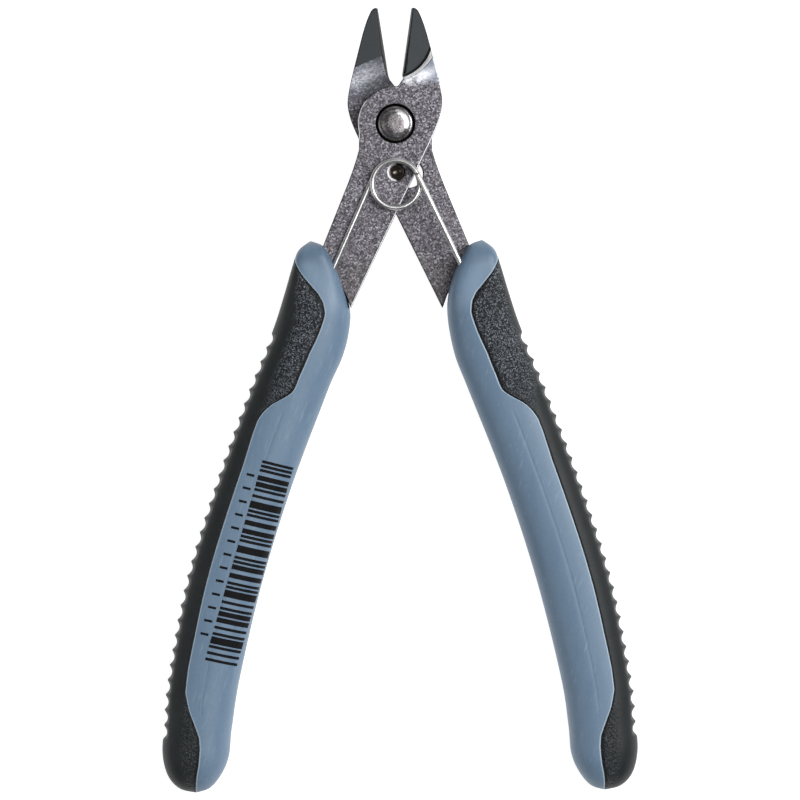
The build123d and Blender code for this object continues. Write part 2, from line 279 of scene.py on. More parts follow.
# painted brightening of the slope towards the right
SLOPE_BRIGHTENING = (1.5, 6.0, 0.62, 1.5)                    # from x to x, and how bright at each
BLADE_TONES = ((0.040, 0.047, 0.052, 1), (0.058, 0.066, 0.072, 1))
BLADE_EDGE_SHADE, BLADE_FACE_LEAN = (0.012, 0.014, 0.014, 1), (0.95, 0.985)
TILTED_LEAN, LEANING_LEAN, FACE_LEAN, WALL_LEAN = (0.12, 0.3), (0.86, 0.78), (0.97, 0.9), (0.06, 0.12)
FACES_RIGHT = (0.0, 0.15)
LEFT_RIM_FROM, LEFT_RIM_TO = (-3.0, -2.0), (4.0, 3.0)
BESIDE_COUNTERBORE = (COUNTERBORE + 0.7, COUNTERBORE + 0.9)
EDGE_HIGHLIGHT_TO = (7.0, 6.0)
EDGE_SHADE_TONE, EDGE_HIGHLIGHT_TONE, WALL_SHADE_TONE, POCKET_SHADE_TONE = grey(0.02), (0.95, 0.95, 0.97, 1), grey(0.05), grey(0.004)


def lever_steel(name, turned_over):
    """Blasted plate, with dark ground blades, burnished slopes below them and broken edges, with painted
    light: highlight and shade bands on the slopes, a highlight beside the hollow and on edges facing the key
    lamp, shade on other edges, walls and the counterbore, and a dark reflection in the blades' near-black.
    """
    m = Shader(name)
    where = m.place(turned_over=turned_over)
    x, y, z = m.split(where)
    normal = m.node("ShaderNodeTexCoord").outputs["Normal"]
    upright = m.math("ABSOLUTE", m.split(normal)[2])
    mating = m.math("LESS_THAN", z, MATING_HEIGHT)
    outside = m.without(mating)
    reach = m.length(x, y)

    speckle = m.noise(where, *SPECKLE)
    grit = m.grit(where, GRIT_SIZE)
    grain = m.noise(where, *GRAIN)
    clouds = m.noise(where, *CLOUDS)
    smears = m.noise(m.place(turned_over=turned_over, stretch=SMEAR_STRETCH, spin=SMEAR_SPIN), *SMEARS)
    lines = m.noise(m.place(turned_over=turned_over, stretch=LINE_STRETCH, spin=LINE_SPIN), *LINES)

    blasted = m.ramp(grit, BLAST_TONES)
    for value, stain in (
        (speckle, SPECKLE_STAIN), (grain, GRAIN_STAIN), (clouds, CLOUD_STAIN), (y, GRIP_STAIN),
    ):
        blasted = m.stain(blasted, value, *stain)

    # outer side: a round-ended hollow holds the dark blade, and the metal round it is burnished, with a
    # painted near-white highlight band beside the hollow
    across = m.less(x, HOLLOW_CENTRE[0])
    along = m.less(y, HOLLOW_CENTRE[1])
    radius = m.length(across, along)
    height = m.plus(m.plus(y, m.vary(grain, -1.1, 1.1)), m.vary(smears, -0.5, 0.5))
    burnished = m.times(m.step(height, *BURNISHED_FROM), m.step(radius, *BURNISHED_RING))
    drift = m.vary(smears, -0.7, 0.7)
    bluish = m.times(m.step(m.plus(x, drift), *BLUISH_BESIDE), m.step(m.plus(y, drift), *BLUISH_FROM))
    bright = m.times(m.step(radius, *HIGHLIGHT_BAND_RING), m.without(bluish))
    flank = m.times(m.step(upright, *FLANK_LEAN), m.step(radius, *FLANK_RING))
    burnished = m.times(burnished, m.without(m.times(flank, 0.75)))
    shine = m.mix(m.scale(smears, 0.34, 0.66, 0, 1), *SHINE_TONES)
    shine = m.stain(shine, grit, *SHINE_STAIN)
    # painted highlight: the metal beside the hollow is taken towards near white, standing in for the lamps'
    # reflection
    shine = m.tint(shine, HIGHLIGHT_BAND_TONE, bright, 0.85)
    hollow_wall = m.times(m.without(m.step(upright, *HOLLOW_WALL_LEAN)), burnished)
    # painted highlight: the hollow's wall, which faces away from the key lamp, is coloured near white
    shine = m.tint(shine, HOLLOW_WALL_HIGHLIGHT, hollow_wall)
    outer_blade = m.times(m.math("LESS_THAN", radius, OUTER_BLADE_RADIUS), m.step(y, *OUTER_BLADE_FROM))

    # mating side: the blade steps back along a slope, with a painted highlight halfway up, painted shade at
    # its foot, painted glints in its grit and painted brightening to the right
    climb = m.plus(y, m.times(m.less(x, SLOPE_TURN_X), SLOPE_TURN))
    ragged = m.plus(climb, m.vary(smears, -0.35, 0.35))
    slope = m.ramp(m.scale(ragged, *SLOPE_SPAN, 0, 1), SLOPE_LIGHT_AND_SHADE)
    slope = m.mix(m.scale(smears, 0.36, 0.64, 0, 0.45), slope, SLOPE_SMEAR_TONE)
    slope = m.stain(slope, grit, *SLOPE_PITS)
    slope = m.stain(slope, grit, *SLOPE_GLINTS)
    slope = m.node(
        "ShaderNodeVectorMath", {0: slope, 1: m.scale(x, *SLOPE_BRIGHTENING)}, operation="MULTIPLY"
    ).outputs[0]
    sloped = m.step(ragged, *SLOPE_FROM)
    mating_blade = m.step(climb, *MATING_BLADE_FROM)

    # the blades' near-black is partly the hardened steel's own dark tone and partly a painted dark
    # reflection; their sloping edges get painted shade, darker still
    ground = m.mix(lines, *BLADE_TONES)
    ground = m.mix(m.step(upright, *BLADE_FACE_LEAN), BLADE_EDGE_SHADE, ground)
    outer = m.mix(outer_blade, m.mix(burnished, blasted, shine), ground)
    inner = m.mix(mating_blade, m.mix(sloped, blasted, slope), ground)
    colour = m.mix(mating, outer, inner)

    # broken edges and countersinks that face the key lamp on the right, and the left rim, get a painted
    # highlight, not round the blades; other tilted edges get painted shade
    polished = m.times(burnished, outside)
    tilted = m.times(m.step(upright, *TILTED_LEAN), m.without(polished))
    edge_shade = m.times(tilted, m.step(upright, *LEANING_LEAN))
    faces_right = m.step(m.times(m.split(normal)[0], -1 if turned_over else 1), *FACES_RIGHT)
    left_rim = m.times(m.step(y, *LEFT_RIM_FROM), m.step(y, *LEFT_RIM_TO))
    highlit_side = m.times(m.most(faces_right, left_rim), m.step(reach, *BESIDE_COUNTERBORE))
    edge_highlight = m.times(tilted, m.step(upright, *FACE_LEAN), m.step(y, *EDGE_HIGHLIGHT_TO), highlit_side, outside)
    colour = m.tint(colour, EDGE_SHADE_TONE, edge_shade, 0.92)
    colour = m.tint(colour, EDGE_HIGHLIGHT_TONE, edge_highlight)
    # painted shade on the upright side walls
    colour = m.tint(colour, WALL_SHADE_TONE, m.without(m.step(upright, *WALL_LEAN)), 0.6)
    # painted shade: the counterbore's floor round the rivet is taken to black
    pocket = m.times(
        m.math("LESS_THAN", reach, COUNTERBORE + 0.03), m.math("LESS_THAN", z, PLATE_TOP - 0.05)
    )
    colour = m.tint(colour, POCKET_SHADE_TONE, pocket)

    blade = m.most(m.times(outer_blade, outside), m.times(mating_blade, mating))
    matt = m.times(sloped, mating, m.without(mating_blade))
    finish = m.less(0.55, m.times(m.most(edge_highlight, polished), 0.2))
    dull = m.most(m.most(matt, blade), m.most(hollow_wall, edge_highlight))
    m.set(
        Base_Color=colour, Metallic=m.less(0.7, m.times(dull, 0.55)),
        Roughness=m.less(finish, m.times(blade, 0.1)), Specular_IOR_Level=0.25,
    )
    rough = m.without(m.times(m.most(blade, burnished), 0.8))
    # the slopes run into the faces beside them in a soft round
    plain = m.node("ShaderNodeNewGeometry").outputs["Normal"]
    blurred = m.node("ShaderNodeBevel", {"Radius": SOFT_ROUND * MM}, samples=SOFT_SAMPLES).outputs[0]
    soft = m.most(m.times(matt, 0.45), m.times(hollow_wall, outside))
    shaded = m.node("ShaderNodeMix", {0: soft, 4: plain, 5: blurred}, data_type="VECTOR").outputs[1]
    m.bump([(grain, m.times(rough, 0.35)), (grit, m.times(rough, 0.25)), (lines, m.times(blade, 0.1))],
           0.00015, shaded)
    return m.material


# the rivet, whose bands are radii
RIVET_MOTTLE, RIVET_FINE = (0.8, 4.0, 0.7), (0.3, 2.0, 0.7)
RIVET_ARCS, ARC_STRETCH, ARC_SPIN = (0.8, 3.0, 0.65), (1, 2.2, 1), -0.7
RIVET_TONES = ((0.17, 0.15, 0.155, 1), (0.42, 0.41, 0.43, 1))
ARC_STAIN = ((0.50, 0.62), 0.7, (0.13, 0.105, 0.105, 1))
FINE_STAIN = ((0.56, 0.7), 0.35, (0.62, 0.62, 0.64, 1))
RIM_STAIN = ((2.3, 2.36), 0.5, (0.22, 0.22, 0.225, 1))
# painted shade on the flat crown, dimming the top lamp's reflection
CROWN_SHADE = ((1.7, 1.2), 0.4, (0.16, 0.14, 0.145, 1))
GAP_SHADE = ((2.70, 2.75), 1.0, grey(0.006, 0.1))
SHOULDER_FROM, SHOULDER_TO = (1.25, 1.55), (2.34, 2.3)
SHOULDER_HEADING, SHOULDER_SIDE = (0.87, 0.5), (0.9, 1.35)


def rivet_steel():
    """Scuffed, mottled satin steel, with a painted highlight along one side of its shoulder, painted shade on
    its crown and painted shade in the gap round it.
    """
    m = Shader("rivet_steel")
    where = m.place()
    x, y = m.split(where)[:2]
    radius = m.length(x, y)
    mottle = m.noise(where, *RIVET_MOTTLE)
    fine = m.noise(where, *RIVET_FINE)
    arcs = m.noise(m.place(stretch=ARC_STRETCH, spin=ARC_SPIN), *RIVET_ARCS)
    colour = m.mix(m.scale(mottle, 0.36, 0.64, 0, 1), *RIVET_TONES)
    for value, stain in (
        (arcs, ARC_STAIN), (fine, FINE_STAIN), (radius, RIM_STAIN), (radius, CROWN_SHADE),
    ):
        colour = m.stain(colour, value, *stain)
    # painted highlight: a near-white crescent on the shoulder's side towards the key lamp
    side = m.plus(m.times(x, SHOULDER_HEADING[0]), m.times(y, SHOULDER_HEADING[1]))
    side = m.plus(side, m.vary(arcs, -0.3, 0.3))
    shoulder = m.times(
        m.step(radius, *SHOULDER_FROM), m.step(radius, *SHOULDER_TO), m.step(side, *SHOULDER_SIDE)
    )
    colour = m.tint(colour, grey(0.95), shoulder, 0.9)
    # painted shade: the head's side down in the gap is taken to black
    colour = m.stain(colour, radius, *GAP_SHADE)
    m.set(
        Base_Color=colour, Metallic=0.9,
        Roughness=m.plus(m.vary(mottle, 0.21, 0.33), m.times(shoulder, 0.2)),
    )
    m.bump([(mottle, 0.28), (fine, 0.2), (arcs, 0.25)], 0.00012)
    return m.material


PIN_HAZE, PIN_MARKS = (0.5, 3.0, 0.6), (0.12, 2.0, 0.6)
PIN_DARK_REFLECTION_TONES = (grey(0.03, 0.1), grey(0.09, 0.2))
WIRE_HAZE, WIRE_DIE = (1.6, 3.0, 0.6), (0.11, 2.0, 0.5)
WIRE_TONES = (grey(0.44), grey(0.72))


def pin_steel():
    """Near-black glossy steel with faint turned marks; its near-black colour is a painted dark reflection."""
    m = Shader("pin_steel")
    where = m.place()
    haze = m.noise(where, *PIN_HAZE)
    m.set(Base_Color=m.mix(haze, *PIN_DARK_REFLECTION_TONES), Metallic=0.8, Roughness=m.vary(haze, 0.16, 0.28))
    m.bump([(m.noise(where, *PIN_MARKS), 0.15)], 0.00005)
    return m.material


def spring_wire():
    """Bright drawn wire with die lines and a little haze."""
    m = Shader("spring_wire")
    where = m.place()
    haze = m.noise(where, *WIRE_HAZE)
    die = m.noise(where, *WIRE_DIE)
    m.set(Base_Color=m.mix(m.vary(haze, 0, 1), *WIRE_TONES), Metallic=0.9, Roughness=m.vary(die, 0.27, 0.36))
    m.bump([(die, 0.07)], 0.00004)
    return m.material


# the grips' plastic
PLASTIC_GRAIN = (0.45, 3.0, 0.7)
FLOW, FLOW_STRETCH = (2.2, 3.0, 0.6), (1, 0.25, 1)
MARKS, MARK_STRETCH, MARK_SPIN = (0.5, 2.0, 0.5), (1, 0.12, 1), 0.3
SPECK_SPACING, SPECK_STAIN = 2.6, ((0.045, 0.02), 0.25, (0.06, 0.08, 0.10, 1))
PLASTIC_TONES = ((0.150, 0.232, 0.335, 1), (0.178, 0.266, 0.375, 1))
PLASTIC_GRAIN_TONE = (0.125, 0.19, 0.265, 1)
MARK_STAIN = ((0.60, 0.74), 0.3, (0.30, 0.40, 0.50, 1))
# painted shade, darker towards each collar's top
COLLAR_TOP_SHADE = ((-24.0, -20.3), 0.45, (0.085, 0.135, 0.20, 1))   # by height
CREST_POINT, CREST_ACROSS = (13.1, -22.2), (0.872, 0.489)        # the crest's line and what lies across it
CREST_BAND, CREST_FROM, CREST_TO = (2.2, 0.2), (-31.0, -27.0), (-20.6, -22.2)
CREST_HIGHLIGHT_TONE = (0.24, 0.335, 0.45, 1)
LIP_HIGHLIGHT = ((0.15, 0.6), 0.85, (0.42, 0.53, 0.63, 1))
SEAM_STAIN = ((0.75, 1.0), 0.42, (0.05, 0.075, 0.11, 1))


def grip_plastic():
    """Satin blue-grey plastic, with a fine spark-eroded grain, faint marks and a mould line. Each
    collar has painted shade at its top and a painted highlight along its crest, and a painted highlight runs
    along the lip."""
    m = Shader("grip_plastic")
    where = m.place()
    x, y = m.split(where)[:2]
    grain = m.noise(where, *PLASTIC_GRAIN)
    flow = m.noise(m.place(stretch=FLOW_STRETCH), *FLOW)
    marks = m.noise(m.place(stretch=MARK_STRETCH, spin=MARK_SPIN), *MARKS)
    seam = m.attribute("seam")
    colour = m.mix(m.vary(flow, 0, 1), *PLASTIC_TONES)
    colour = m.mix(m.vary(grain, 0, 0.36), colour, PLASTIC_GRAIN_TONE)
    for value, stain in (
        (m.cells(where, SPECK_SPACING), SPECK_STAIN), (marks, MARK_STAIN), (y, COLLAR_TOP_SHADE),
    ):
        colour = m.stain(colour, value, *stain)
    beside = m.less(
        m.times(m.less(m.math("ABSOLUTE", x), CREST_POINT[0]), CREST_ACROSS[0]),
        m.times(m.less(y, CREST_POINT[1]), CREST_ACROSS[1]),
    )
    crest = m.times(
        m.step(m.math("ABSOLUTE", beside), *CREST_BAND), m.step(y, *CREST_FROM), m.step(y, *CREST_TO)
    )
    # painted highlight along each collar's crest
    colour = m.tint(colour, CREST_HIGHLIGHT_TONE, crest, 0.5)
    # painted highlight: a pale line on the core's lip beside the parting line
    colour = m.stain(colour, m.attribute("lip"), *LIP_HIGHLIGHT)
    colour = m.stain(colour, seam, *SEAM_STAIN)
    m.set(
        Base_Color=colour, Roughness=m.vary(flow, 0.40, 0.52), IOR=1.5,
        Specular_IOR_Level=0.42, Subsurface_Weight=0.03, Subsurface_Radius=(0.0006, 0.0008, 0.001),
    )
    m.bump([(flow, 0.12), (grain, 0.16), (seam, -0.5)], 0.00012)
    return m.material


# the grips' elastomer
PAD_FROM = (-46.0, -38.0)                                # the upper pads' grain starts at this height
PAD_WIDENING = (-5.0, 5.0, 0.02, 0.34)                   # from x to x, and how much wider at each
FACE_EDGE = (0.36, 0.10)
PEBBLE_SIZE, CREST_SIZE = 0.27, 0.14
PATCHES, ELASTOMER_FINE, ELASTOMER_WEAR = (1.3, 2.0, 0.5), (0.2, 3.0, 0.75), (3.2, 3.0, 0.6)
PATCH_SPAN = (0.35, 0.65, 0.55, 1.0)
ELASTOMER_TONES = ((0.0085, 0.0115, 0.0125, 1), (0.014, 0.018, 0.020, 1))
GLINT_BAND, GLINT_TONE = (0.55, 0.95), (0.27, 0.30, 0.355, 1)
PIT_BAND, PIT_TONE = (0.5, 0.3), (0.003, 0.004, 0.006, 1)
RIM_SHADE = ((0.2, 0.9), 1.0, (0.002, 0.002, 0.003, 1))


def grip_elastomer():
    """Black elastomer, leather-grained on its faces and smooth round the ridged edge, with painted glints of
    light on the grain's crests.
    """
    m = Shader("grip_elastomer")
    where = m.place()
    x, y = m.split(where)[:2]
    pad = m.step(y, *PAD_FROM)
    wide = m.times(pad, m.scale(x, *PAD_WIDENING))
    face = m.step(m.less(m.attribute("edge"), wide), *FACE_EDGE)
    pebble = m.cells(where, PEBBLE_SIZE, "SMOOTH_F1")
    crest = m.grit(where, CREST_SIZE)
    patches = m.scale(m.noise(where, *PATCHES), *PATCH_SPAN)
    glints = m.times(m.step(crest, *GLINT_BAND), m.scale(pad, 0, 1, 0.3, 1.0), patches)
    fine = m.noise(where, *ELASTOMER_FINE)
    base = m.mix(m.vary(m.noise(where, *ELASTOMER_WEAR), 0, 1), *ELASTOMER_TONES)
    # painted highlight: glints of light on the grain's crests
    base = m.tint(base, GLINT_TONE, m.times(glints, face), 0.8)
    base = m.tint(base, PIT_TONE, m.step(crest, *PIT_BAND), m.times(pad, face))
    base = m.stain(base, m.attribute("rim"), *RIM_SHADE)
    m.set(
        Base_Color=base, Roughness=m.vary(fine, 0.44, 0.62), IOR=1.5,
        Specular_IOR_Level=0.32, Sheen_Weight=0.03, Sheen_Roughness=0.5,
    )
    m.bump([(pebble, m.times(face, 0.9)), (fine, m.scale(face, 0, 1, 0.08, 0.35))], 0.0002)
    return m.material


INK_WEAR, INK_BAND = (0.35, 3.0, 0.7), (0.55, 0.75)
INK_TONES = ((0.004, 0.004, 0.005, 1), (0.016, 0.018, 0.021, 1))
FIBRE, PAPER_SHADE = (0.9, 4.0, 0.6), (60.0, 2.0, 0.5)
PAPER_TONES = (grey(0.36), grey(0.38))


def print_ink():
    """Matt black pad-print, thin and slightly broken in places."""
    m = Shader("print_ink")
    wear = m.noise(m.place(), *INK_WEAR)
    m.set(
        Base_Color=m.mix(m.step(wear, *INK_BAND), *INK_TONES), Roughness=m.vary(wear, 0.6, 0.75),
        Specular_IOR_Level=0.15,
    )
    m.bump([(wear, 0.1)], 0.00003)
    return m.material


def studio_floor():
    """Seamless pale paper."""
    m = Shader("studio_floor")
    where = m.place()
    fibre = m.noise(where, *FIBRE)
    shade = m.vary(m.noise(where, *PAPER_SHADE), 0, 1)
    m.set(
        Base_Color=m.mix(shade, *PAPER_TONES), Roughness=m.vary(fibre, 0.75, 0.9),
        Specular_IOR_Level=0.2, Emission_Color=(1, 1, 1, 1), Emission_Strength=0.93,
    )
    m.bump([(fibre, 0.05)], 0.0001)
    return m.material


# ---------------------------------------------------------------- mesh helpers

def mesh_piece(name, points, faces, material, values=None, smooth=True):
    """A mesh object from points in millimetres about the pivot, with named values per point."""
    mesh = bpy.data.meshes.new(name)
    placed = np.asarray(points, float) * MM + np.array(PIVOT)
    mesh.from_pydata([tuple(p) for p in placed], [], faces)
    for key, numbers in (values or {}).items():
        layer = mesh.attributes.new(key, "FLOAT", "POINT")
        layer.data.foreach_set("value", np.asarray(numbers, np.float32))
    shape = bmesh.new()
    shape.from_mesh(mesh)
    bmesh.ops.recalc_face_normals(shape, faces=shape.faces)
    shape.to_mesh(mesh)
    shape.free()
    mesh.polygons.foreach_set("use_smooth", [smooth] * len(mesh.polygons))
    mesh.materials.append(material)
    made = bpy.data.objects.new(name, mesh)
    bpy.context.scene.collection.objects.link(made)
    return made


CURVE_STEPS = 40           # between two given points


def curve_through(points, count):
    """Evenly spaced points along a Catmull-Rom curve through the given ones."""
    p = np.asarray(points, float)
    p = np.vstack([2 * p[0] - p[1], p, 2 * p[-1] - p[-2]])
    steps = np.linspace(0, 1, CURVE_STEPS, endpoint=False)[:, None]
    runs = []
    for a, b, c, d in zip(p[:-3], p[1:-2], p[2:-1], p[3:]):
        runs.append(0.5 * (
            2 * b + (c - a) * steps + (2 * a - 5 * b + 4 * c - d) * steps**2
            + (3 * b - a - 3 * c + d) * steps**3
        ))
    dense = np.vstack(runs + [p[-2:-1]])
    along = np.concatenate([[0], np.cumsum(np.linalg.norm(np.diff(dense, axis=0), axis=1))])
    wanted = np.linspace(0, along[-1], count)
    return np.column_stack([np.interp(wanted, along, dense[:, k]) for k in range(p.shape[1])])


def smooth_step(value, low, high):
    t = np.clip((value - low) / (high - low), 0, 1)
    return t * t * (3 - 2 * t)


# ---------------------------------------------------------------- grips

# right grip, seen from the front: its two sides run from the collar's top to the handle's end
OUTER_SIDE = (
    (13.3, -17.95), (15.2, -19.5), (16.1, -21.9), (17.45, -26.4), (19.3, -31.9), (23.15, -41.2),
    (28.55, -56), (33.15, -70.9), (36.0, -85.8), (36.6, -93.2), (36.8, -97.3), (36.0, -100.6),
    (34.2, -102.6), (31.6, -103.3),
)
INNER_SIDE = (
    (13.3, -17.95), (11.3, -18.8), (10.1, -20.6), (9.0, -22.9), (8.0, -26.2), (7.75, -30),
    (8.8, -35.6), (11.0, -41.2), (16.7, -56), (21.4, -70.9), (25, -85.8), (26.1, -93.2),
    (26.5, -97.5), (27.6, -100.3), (29.4, -102.5), (31.6, -103.3),
)
# the parting line between core and cover, as the share of the width that is core at each height
PARTING = (
    (-20.6, 1.0), (-21.9, 0.86), (-24.4, 0.60), (-26.2, 0.44), (-27.6, 0.37), (-29.4, 0.34),
    (-31.9, 0.37), (-35.6, 0.42), (-39.0, 0.42), (-40.6, 0.415), (-41.5, 0.43), (-42.3, 0.51),
    (-43.2, 0.63), (-44.3, 0.70), (-45.6, 0.735), (-47.5, 0.735), (-52.3, 0.712), (-63.5, 0.712),
    (-78.4, 0.715), (-84.0, 0.725), (-87.5, 0.71), (-90.5, 0.625), (-93.2, 0.51), (-94.6, 0.45),
    (-96.2, 0.43), (-99, 0.44), (-101.5, 0.47), (-103.3, 0.5),
)
# each inner side stands out this much below its collar, and further down
INNER_SWELL = {-1: (0.58, 0.2), 1: (-0.12, 0.0)}
SWELL_FROM, SWELL_TURN, SWELL_TO = (24, 30.5), (32.5, 41), (88, 97)
SECTION_POWER = 2.45       # 2 is an ellipse, more is squarer
COLLAR_POWER = 4.4
COLLAR_FADE = (21.5, 31.5)
COLLAR_THINNING = 0.03
FULL_HEIGHT = 0.998        # of the CAD's
TOP_ROUND, END_ROUND, ROUND_POWER = 3.0, 6.5, 2.2
SEAM_SHARE = 0.455         # the mould line on the core, as a share of the width from the inner side
SEAM_TOP, SEAM_END, SEAM_FADE = -43.5, -97.0, 2
SEAM_DEEP, SEAM_HALF, SEAM_GAP = 0.03, 0.1, 0.12
COVER_DEPTH = 0.9          # the core is set back this far under the cover
COVER_CLEARANCE = 0.04
COVER_FROM = 0.06          # parting angle at which the cover starts
RIDGE_PITCH = 2.34
RIDGE_DEEP = 0.58
RIDGE_FIRST, RIDGE_LAST = -32.2, -94.3
RIDGE_LEAN = 1.18          # 1 puts each hollow halfway between its crests
RIDGE_SPREAD = (0.57, 0.80)  # the hollows run out over this share of the quarter turn
ROWS = 460
FINE_STEPS = 4000
SMOOTHING = 7              # rows
COVER_SEGMENTS = 44
COVER_CROWDING = 1.15      # how much closer the cover's columns are to its edges
EDGE_TURN = 1.6            # the angle from the outer side at which "edge" reaches 0
GROOVE, GROOVE_WIDTH = 0.12, 0.16  # the cover's edge dips where it meets the core
LIP_STEPS = (0.10, 0.22, 0.45)  # columns of the core beside the parting line
LIP_VALUES = (1, 0.8, 0.25)
LIP_DEEP = 0.045
LIP_FADE, BED_FADE = (0.03, 0.12), (0.03, 0.35)  # parting angles
FREE_COLUMNS, INNER_COLUMNS, BED_COLUMNS = 10, 19, 25
DEEPEST = 0.4              # of a section's half width or height
SIDE_LIMIT, FRONT_LIMIT = 0.998, 0.999           # of the half width
CAP_SHARE = 0.0008         # the rows stop this close to the two ends
THIN_END = 0.12            # half height of the first and last rows


class Grip:
    """One grip's surface as rows across its length, drawn as for the right hand. On each row,
    angle 0 is the outer side, a quarter turn is the front and half a turn is the inner side."""

    def __init__(self, side):
        self.side = side
        grid = np.linspace(0, 1, FINE_STEPS)
        share = np.linspace(CAP_SHARE, 1 - CAP_SHARE, ROWS)
        sides = []
        for line in (INNER_SIDE, OUTER_SIDE):
            dense = curve_through(line, len(grid))
            sides.append(np.column_stack([np.interp(share, grid, dense[:, k]) for k in (0, 1)]))
        self.inner, self.outer = sides
        y = -self.inner[:, 1]
        near, far = INNER_SWELL[side]
        turn = smooth_step(y, *SWELL_TURN)
        swell = near * smooth_step(y, *SWELL_FROM) * (1 - turn)
        swell += far * turn * (1 - smooth_step(y, *SWELL_TO))
        self.inner[:, 0] -= swell
        self.centre = (self.inner + self.outer) / 2
        self.half_width = np.linalg.norm(self.outer - self.inner, axis=1) / 2
        self.across = (self.outer - self.inner) / (2 * self.half_width[:, None])
        self.height_mm = self.centre[:, 1]
        top, end = self.height_mm[0], self.height_mm[-1]
        from_top = np.clip((top - self.height_mm) / TOP_ROUND, 0, 1)
        from_end = np.clip((self.height_mm - end) / END_ROUND, 0, 1)
        at_top, at_end = [(1 - (1 - t) ** ROUND_POWER) ** (1 / ROUND_POWER) for t in (from_top, from_end)]
        collar = 1 - smooth_step(-self.height_mm, *COLLAR_FADE)
        self.power = SECTION_POWER + (COLLAR_POWER - SECTION_POWER) * collar
        body = 1 - COLLAR_THINNING * collar
        self.half_height = np.maximum(GRIP_HALF * FULL_HEIGHT * body * at_top * at_end, THIN_END)
        heights = np.array(PARTING)
        part = np.interp(-self.height_mm, -heights[:, 0], heights[:, 1])
        kernel = np.hanning(SMOOTHING) / np.hanning(SMOOTHING).sum()
        part[SMOOTHING // 2:-(SMOOTHING // 2)] = np.convolve(part, kernel, "valid")
        self.parting = self.angle_at(part)

    def angle_at(self, share):
        """Angle on the front face at a share of the width from the inner side, on each row."""
        x = np.clip(2 * np.asarray(share, float) - 1, -1, 1)
        return np.arccos(np.sign(x) * np.abs(x) ** (self.power / 2))

    def angle_beside(self, angle, distance, rows=slice(None)):
        """Angles of the front points a distance nearer to the outer side than the given ones."""
        power = self.power[rows]
        c = np.cos(angle)
        x = np.sign(c) * np.abs(c) ** (2 / power) + distance / self.half_width[rows]
        x = np.clip(x, -SIDE_LIMIT, SIDE_LIMIT)
        return np.arccos(np.sign(x) * np.abs(x) ** (power / 2))

    def points(self, angle, depth, rows=slice(None)):
        """Points at angles (rows by columns) and depths under the surface, in millimetres."""
        width, height = self.half_width[rows][:, None], self.half_height[rows][:, None]
        power = self.power[rows][:, None]
        c, s = np.cos(angle), np.sin(angle)
        x = np.sign(c) * np.abs(c) ** (2 / power)
        z = np.sign(s) * np.abs(s) ** (2 / power)
        nx = np.sign(x) * np.abs(x) ** (power - 1) / width
        nz = np.sign(z) * np.abs(z) ** (power - 1) / height
        size = np.sqrt(nx**2 + nz**2)
        deep = np.minimum(depth, DEEPEST * np.minimum(width, height))
        a = width * x - deep * nx / size
        b = height * z - deep * nz / size
        flat = self.centre[rows][:, None, :] + self.across[rows][:, None, :] * a[..., None]
        return np.concatenate([flat, b[..., None]], axis=2)

    def on_front(self, x, y, proud):
        """Point of the front surface at a plan position, raised by a little."""
        along = np.column_stack([self.across[:, 1], -self.across[:, 0]])
        past = np.einsum("ij,ij->i", np.array([x, y]) - self.centre, along)
        row = int(np.argmax(past < 0))
        share = past[row - 1] / (past[row - 1] - past[row])
        mixed = [v[row - 1] + (v[row] - v[row - 1]) * share
                 for v in (self.centre, self.across, self.half_width, self.half_height, self.power)]
        centre, across, width, height, power = mixed
        a = min(abs(float((np.array([x, y]) - centre) @ across) / width), FRONT_LIMIT)
        return (x, y, height * (1 - a**power) ** (1 / power) + proud)

    def ridges(self, rows=slice(None)):
        """Depth of the scalloped valleys at each row: sharp crests with round hollows between."""
        y = self.outer[rows][:, 1]
        run = np.concatenate([[0], np.cumsum(np.linalg.norm(np.diff(self.outer[rows], axis=0), axis=1))])
        first = np.interp(-RIDGE_FIRST, -y, run)
        turn = ((run - first) / RIDGE_PITCH) % 1.0
        lean = turn ** RIDGE_LEAN
        hollow = 1 - (2 * lean - 1) ** 2
        window = smooth_step(-y, -RIDGE_FIRST - 0.3, -RIDGE_FIRST + 0.4)
        window = window * (1 - smooth_step(-y, -RIDGE_LAST, -RIDGE_LAST + 1))
        return RIDGE_DEEP * hollow * window


def grid_faces(rows, columns, offset=0, closed=False):
    """Quads between neighbouring rows of a grid of points."""
    last = columns if closed else columns - 1
    faces = []
    for r in range(rows - 1):
        for c in range(last):
            n = (c + 1) % columns
            a, b = offset + r * columns, offset + (r + 1) * columns
            faces.append((a + c, a + n, b + n, b + c))
    return faces


JOIN_DISTANCE = 0.002


def tidy_mesh(made):
    """Joins points that fall together and drops the empty faces that they leave."""
    shape = bmesh.new()
    shape.from_mesh(made.data)
    bmesh.ops.remove_doubles(shape, verts=shape.verts, dist=JOIN_DISTANCE * MM)
    bmesh.ops.dissolve_degenerate(shape, dist=JOIN_DISTANCE * MM * 0.5, edges=shape.edges)
    bmesh.ops.recalc_face_normals(shape, faces=shape.faces)
    shape.to_mesh(made.data)
    shape.free()


